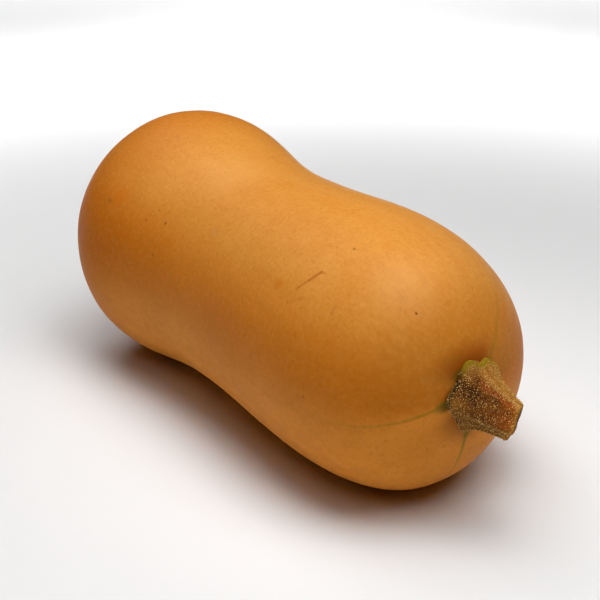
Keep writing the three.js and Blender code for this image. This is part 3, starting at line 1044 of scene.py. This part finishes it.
def build_stem():
    sides = [2 * math.pi * side / STEM_SIDES for side in range(STEM_SIDES)]
    ridges = [rounded_polygon(around, TIP_FACETS) / TIP_FACETS[0][1] for around in sides]
    side_end = STEM_LENGTH - STEM_TIP_ROUND
    points = []
    heights = []
    pasts = []
    for step in range(STEM_STEPS + 1):
        for around in sides:
            foot = skin_place(around)
            along = foot - FOOT_BURIED + (side_end - foot + FOOT_BURIED) * step / STEM_STEPS
            points.append(stem_point(along, around, stem_radius(along, around)))
            heights.append(along - foot)
            pasts.append(along - STEM_LENGTH)
    for ring in range(1, STEM_CUT_RINGS):
        share = ring / STEM_CUT_RINGS
        for around in sides:
            rim = stem_radius(side_end, around)
            radius = rim * (1 - share)
            edge = min(1.0, rim * share / STEM_TIP_ROUND)
            rounding = STEM_TIP_ROUND * math.sqrt(1 - (1 - edge) ** 2)
            points.append(stem_point(side_end + rounding - cut_depth(share, radius), around, radius))
            heights.append(STEM_LENGTH)
            pasts.append(rim * share)
    ring_count = len(points) // STEM_SIDES
    tip = len(points)
    points.append(stem_point(STEM_LENGTH - cut_depth(1, 0), 0, 0))
    root = len(points)
    points.append(stem_point(-FOOT_BURIED, 0, 0))

    faces = []
    grown = []
    ridged = []
    for side in range(STEM_SIDES):
        following = (side + 1) % STEM_SIDES
        for ring in range(ring_count - 1):
            low, high = ring * STEM_SIDES, (ring + 1) * STEM_SIDES
            corners = (low + side, low + following, high + following, high + side)
            faces.append(corners)
            for corner, turn in zip(corners, (side, side + 1, side + 1, side)):
                grown.append((heights[corner], 360 * turn / STEM_SIDES, pasts[corner]))
                ridged.append((ridges[turn % STEM_SIDES], 0, 0))
        last = (ring_count - 1) * STEM_SIDES
        faces.append((last + side, last + following, tip))
        faces.append((following, side, root))
        for height, past in ((STEM_LENGTH, TIP_FACETS[0][1]), (-FOOT_BURIED, -STEM_LENGTH)):
            grown += [(height, 360 * (side + 0.5) / STEM_SIDES, past)] * 3
            ridged += [(1, 0, 0)] * 3
    stem = new_object("stem_ribbed", np.array(points) + SHIFT, faces, stem_material())
    corner_attribute(stem.data, "grown", grown)
    corner_attribute(stem.data, "ridge", ridged)
    return stem


def bristle_material():
    g = Graph("stem_bristle")
    colour = g.mix(g.pattern(g.place(), *BRISTLE_PATTERN), *BRISTLE_SHADES)
    return g.surface(colour, BRISTLE_ROUGHNESS)


def stem_surface(along, around):
    """Point on the stem's side, with the outward, forward and sideways directions there."""
    def side_point(along, around):
        return stem_point(along, around, stem_radius(along, around))

    point = side_point(along, around)
    ahead = side_point(along + SURFACE_STEP, around) - point
    beside = side_point(along, around + SURFACE_TURN) - point
    outward = beside.cross(ahead).normalized()
    forward = ahead.normalized()
    return point, outward, forward, forward.cross(outward).normalized()


def add_spike(points, faces, centres, radii, across, ahead, sides):
    """Closed tapering spike through a row of centres, ending in a point at the last one."""
    start = len(points)
    for centre, radius in zip(centres[:-1], radii):
        for side in range(sides):
            turn = 2 * math.pi * side / sides
            points.append(centre + radius * (math.cos(turn) * across + math.sin(turn) * ahead))
    points.append(centres[-1])
    tip = len(points) - 1
    faces.append(tuple(start + side for side in reversed(range(sides))))
    for ring in range(len(radii) - 1):
        low, high = start + ring * sides, start + (ring + 1) * sides
        for side in range(sides):
            following = (side + 1) % sides
            faces.append((low + side, low + following, high + following, high + side))
    last = start + (len(radii) - 1) * sides
    for side in range(sides):
        faces.append((last + side, last + (side + 1) % sides, tip))


def add_bristle_row(draw, points, faces, height):
    """One row of bristles round the stem at a height above the skin."""
    middle = math.radians(ROOT_FACETS[0][0])
    girth = 2 * math.pi * BRISTLE_GIRTH * stem_radius(skin_place(middle) + height, middle)
    count = round(girth / BRISTLE_SPACING)
    for number in range(count):
        around = 2 * math.pi * (number + draw.uniform(-BRISTLE_JITTER, BRISTLE_JITTER)) / count
        along = skin_place(around) + height
        along += draw.uniform(-BRISTLE_JITTER, BRISTLE_JITTER) * BRISTLE_SPACING
        thick = draw.uniform(*BRISTLE_RADII)
        tall = draw.uniform(*BRISTLE_LENGTHS)
        sway = draw.uniform(-BRISTLE_SWAY, BRISTLE_SWAY)
        on_lobe = height < BARE_LOBE_HEIGHT and math.cos(around) > BARE_LOBE_COSINE
        missing = draw.random() < (BARE_LOBE_SHARE if on_lobe else BARE_SHARE)
        if missing or along > STEM_LENGTH - BARE_RIM:
            continue
        foot, outward, forward, across = stem_surface(along, around)
        lean = (outward + BRISTLE_LEAN * forward + sway * across).normalized()
        waist = foot + BRISTLE_WAIST * tall * lean
        centres = [foot - BRISTLE_ROOT * outward, waist, foot + tall * lean]
        radii = (thick, BRISTLE_WAIST_RADIUS * thick)
        add_spike(points, faces, centres, radii, across, forward, BRISTLE_SIDES)


def add_hair(draw, points, faces):
    """One arched hair anywhere on the stem, lying any way."""
    around = draw.uniform(0, 2 * math.pi)
    along = draw.uniform(skin_place(around) + HAIR_START, STEM_LENGTH - BARE_RIM)
    foot, outward, forward, across = stem_surface(along, around)
    heading = draw.uniform(0, 2 * math.pi)
    sweep = math.cos(heading) * forward + math.sin(heading) * across
    length = draw.uniform(*HAIR_LENGTHS)
    centres = []
    for step in range(HAIR_STEPS + 1):
        share = step / HAIR_STEPS
        rise = HAIR_ARCH * math.sin(share * HAIR_ARCH_TURN)
        course = rise * outward + HAIR_REACH * share * sweep
        centres.append(foot - HAIR_ROOT * outward + length * course)
    radii = [HAIR_RADIUS - HAIR_NARROWING * step for step in range(HAIR_STEPS)]
    add_spike(points, faces, centres, radii, across, forward, HAIR_SIDES)


def build_bristles():
    draw = random.Random(BRISTLE_SEED)
    points = []
    faces = []
    height = BRISTLE_START
    while height < STEM_LENGTH + FOOT_HEIGHT + FOOT_NARROWING:
        add_bristle_row(draw, points, faces, height)
        height += BRISTLE_SPACING
    for _ in range(HAIR_COUNT):
        add_hair(draw, points, faces)
    return new_object("stem_bristles", np.array(points) + SHIFT, faces, bristle_material())


def build_floor():
    pale = (FLOOR_WHITENESS, FLOOR_WHITENESS, FLOOR_WHITENESS, 1)
    material = Graph("pale_floor").surface(pale, 1.0, 0.0)
    turns = 2 * math.pi * np.arange(FLOOR_SIDES) / FLOOR_SIDES
    edge = FLOOR_RADIUS * np.stack([np.cos(turns), np.sin(turns), 0 * turns], axis=-1)
    new_object("floor", edge, [tuple(range(FLOOR_SIDES))], material)


def direction(turn, elevation):
    """Unit vector at two angles in degrees: from the camera's side towards its right, and up."""
    azimuth = math.radians(CAMERA_AZIMUTH + turn)
    rise = math.radians(elevation)
    level = math.cos(rise)
    return Vector((math.sin(azimuth) * level, -math.cos(azimuth) * level, math.sin(rise)))


def build_camera():
    data = bpy.data.cameras.new("camera")
    data.sensor_fit = "HORIZONTAL"
    data.sensor_width = SENSOR_WIDTH
    data.lens = SENSOR_WIDTH * CAMERA_FOCAL_PIXELS / FRAME_PIXELS
    data.clip_start, data.clip_end = CAMERA_CLIP
    camera = link("camera", data)
    back = direction(0, CAMERA_ELEVATION)
    target = Vector(np.array(CAMERA_TARGET) + SHIFT)
    camera.location = (target + CAMERA_DISTANCE * back) * MM
    camera.rotation_euler = back.to_track_quat("Z", "Y").to_euler()
    bpy.context.scene.camera = camera


def add_softbox(name, place, towards, size, watts, spread=math.pi):
    data = bpy.data.lights.new(name, "AREA")
    data.shape = "DISK"
    data.spread = spread
    data.size = size * MM
    data.energy = watts
    light = link(name, data)
    light.location = place * MM
    light.rotation_euler = (-towards).to_track_quat("Z", "Y").to_euler()
    light.visible_camera = False


def build_light():
    world = bpy.data.worlds.new("studio")
    world.use_nodes = True
    world.node_tree.nodes["Background"].inputs["Color"].default_value = (1, 1, 1, 1)
    world.cycles_visibility.diffuse = False
    world.cycles_visibility.glossy = False
    bpy.context.scene.world = world
    up = Vector((0, 0, 1))
    for number, (elevation, turn, distance, size, watts) in enumerate(LIGHTS):
        source = direction(turn, elevation)
        add_softbox(f"softbox_{number}", LIGHT_AIM + distance * source, -source, size, watts)
    for count, ring_radius, height, size, watts in FLOOR_LAMPS:
        for number in range(count):
            place = ring_radius * direction(360 * number / count, 0) + height * up
            add_softbox(f"floor_lamp_{ring_radius}_{number}", place, -up, size, watts, FLOOR_LAMP_SPREAD)
    view = bpy.context.scene.view_settings
    view.view_transform = "Standard"
    view.look = "None"


def main():
    build_camera()
    skin = build_skin()
    stem = build_stem()
    bristles = build_bristles()
    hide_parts("squash_fruit")
    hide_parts("stem")
    for piece in (skin, stem, bristles):
        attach(piece, "root")
    build_floor()
    build_light()


main()
